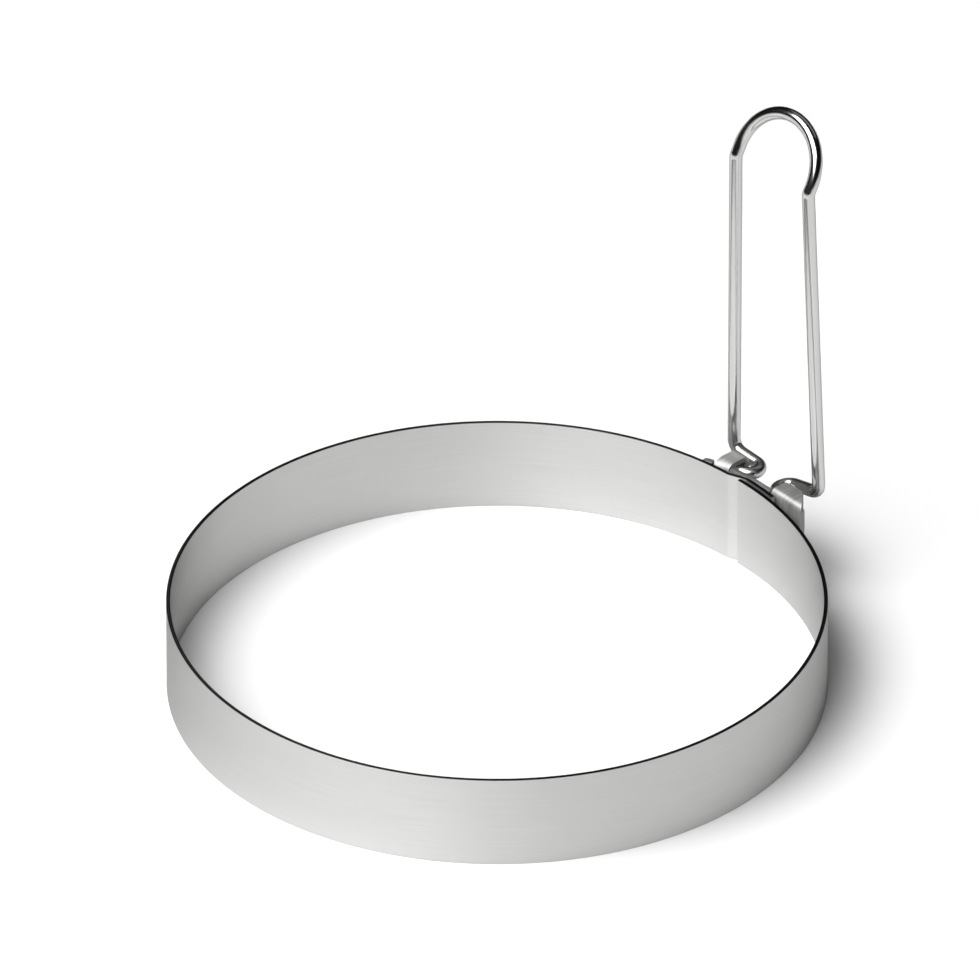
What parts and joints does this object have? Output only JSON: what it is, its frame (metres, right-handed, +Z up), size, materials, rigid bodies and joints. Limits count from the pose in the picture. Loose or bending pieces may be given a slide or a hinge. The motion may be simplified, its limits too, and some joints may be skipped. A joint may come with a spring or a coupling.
{
  "type": "egg ring",
  "caption": "Round sheet-metal ring, open at top and bottom, that keeps a frying egg in shape, with a wire loop handle that folds on a hinge bracket at its side.",
  "frame": {"origin": "on the resting plane, under the middle of the whole object's bounding box with the handle upright", "axes": "+Z up along the ring's axis, +X from the ring towards the hinge and handle, +Y along the hinge axis"},
  "size_m": [0.111, 0.1, 0.077],
  "materials": {
    "band_steel": "satin stainless sheet, fine brushing along the strip",
    "bracket_steel": "bright stainless sheet, fine brushing, polished bends",
    "bright_wire": "bright drawn round wire, mirror-like with fine drawing lines"
  },
  "bodies": {
    "ring": {"ring_band": "band_steel", "hinge_bracket": "bracket_steel"},
    "handle": {"wire_handle": "bright_wire"}
  },
  "joints": [
    {"name": "handle_fold", "type": "hinge", "parent": "ring", "child": "handle", "pos_m": [0.04772, 0, 0.01315], "axis": [0, 1, 0], "range_deg": [-95, 90]}
  ]
}
